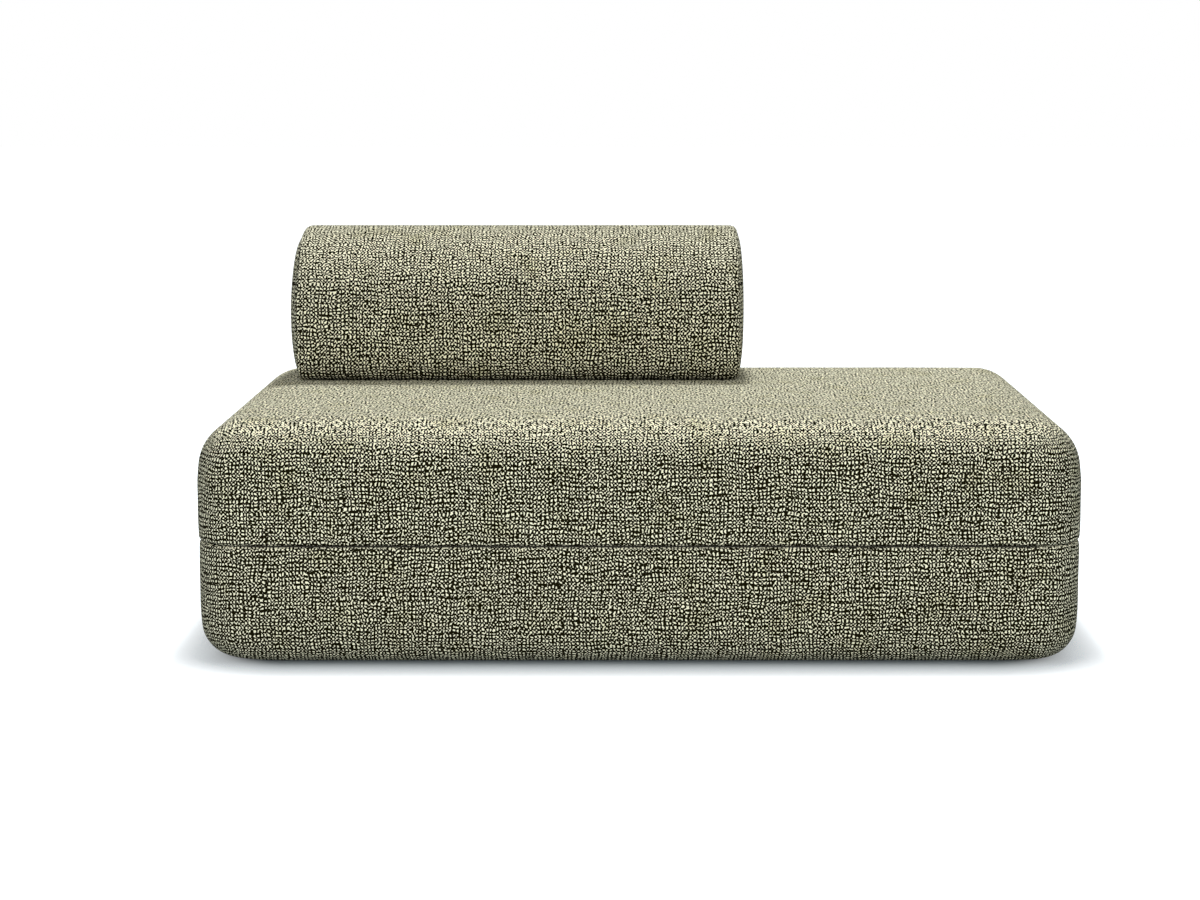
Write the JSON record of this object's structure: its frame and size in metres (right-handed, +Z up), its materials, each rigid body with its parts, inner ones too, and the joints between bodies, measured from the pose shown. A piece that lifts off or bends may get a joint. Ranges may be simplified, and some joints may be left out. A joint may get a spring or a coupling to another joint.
{
  "type": "modular sofa bed",
  "caption": "Backless sofa of stacked foam mattresses joined by a textile hinge, which folds out into a flat bed, with a loose bolster.",
  "frame": {"origin": "on the floor under the middle of the lower mattress", "axes": "+X to the right as the sofa is seen from the front, along its width; +Y from the front to the back; +Z up"},
  "size_m": [1.6, 1.0046, 0.7448],
  "materials": {
    "weave": "matte",
    "sleep_weave": "matte",
    "hinge_tape": "matte",
    "anti_slip": "matte",
    "support_foam": "matte",
    "comfort_foam": "matte",
    "fibre": "matte",
    "zip_tape": "matte",
    "zip_coil": "satin",
    "zip_metal": "satin"
  },
  "bodies": {
    "lower_mattress": {"lower_cover": "weave", "lower_sleep_panel": "sleep_weave", "lower_grip_sheet": "anti_slip", "lower_foam_core": "support_foam", "lower_comfort_foam": "comfort_foam", "lower_wadding": "fibre", "lower_zip_tapes": "zip_tape", "lower_zip_coil": "zip_coil", "lower_zip_stops": "zip_metal", "hinge_strip_lower": "hinge_tape"},
    "upper_mattress": {"upper_cover": "weave", "upper_sleep_panel": "sleep_weave", "upper_foam_core": "support_foam", "upper_comfort_foam": "comfort_foam", "upper_wadding": "fibre", "seat_wadding": "fibre", "upper_zip_tapes": "zip_tape", "upper_zip_coil": "zip_coil", "upper_zip_stops": "zip_metal", "hinge_strip_upper": "hinge_tape"},
    "bolster": {"bolster_cover": "weave", "bolster_left_end": "weave", "bolster_right_end": "weave", "bolster_grip_sheet": "anti_slip", "bolster_foam_core": "support_foam", "bolster_wadding": "fibre", "bolster_zip_tapes": "zip_tape", "bolster_zip_coil": "zip_coil", "bolster_zip_stops": "zip_metal"},
    "lower_slider": {"lower_zip_slider": "zip_metal"},
    "lower_pull": {"lower_zip_pull": "zip_metal"},
    "upper_slider": {"upper_zip_slider": "zip_metal"},
    "upper_pull": {"upper_zip_pull": "zip_metal"},
    "bolster_slider": {"bolster_zip_slider": "zip_metal"},
    "bolster_pull": {"bolster_zip_pull": "zip_metal"}
  },
  "joints": [
    {"name": "sleeper_fold", "type": "hinge", "parent": "lower_mattress", "child": "upper_mattress", "pos_m": [0, -0.5003, 0.22015], "axis": [1, 0, 0], "range_deg": [0, 180]},
    {"name": "bolster_carry", "type": "hinge", "parent": "upper_mattress", "child": "bolster", "pos_m": [0, 0.52, 0.43976], "axis": [1, 0, 0], "range_deg": [-180, 0]},
    {"name": "lower_zip_slide", "type": "slide", "parent": "lower_mattress", "child": "lower_slider", "axis": [1, 0, 0], "range_m": [0, 1.2828]},
    {"name": "lower_pull_swing", "type": "hinge", "parent": "lower_slider", "child": "lower_pull", "pos_m": [-0.6414, 0.50195, 0.13], "axis": [0, 0, 1], "range_deg": [0, 180]},
    {"name": "upper_zip_slide", "type": "slide", "parent": "upper_mattress", "child": "upper_slider", "axis": [1, 0, 0], "range_m": [0, 1.2828]},
    {"name": "upper_pull_swing", "type": "hinge", "parent": "upper_slider", "child": "upper_pull", "pos_m": [-0.6414, 0.50195, 0.3103], "axis": [0, 0, 1], "range_deg": [0, 180]},
    {"name": "bolster_zip_slide", "type": "slide", "parent": "bolster", "child": "bolster_slider", "axis": [1, 0, 0], "range_m": [0, 0.7428]},
    {"name": "bolster_pull_swing", "type": "hinge", "parent": "bolster_slider", "child": "bolster_pull", "pos_m": [-0.6154, 0.45395, 0.50276], "axis": [0, 0, 1], "range_deg": [0, 180]}
  ],
  "couplings": [
    {"joint": "bolster_carry", "follows": "sleeper_fold", "ratio": -1}
  ]
}
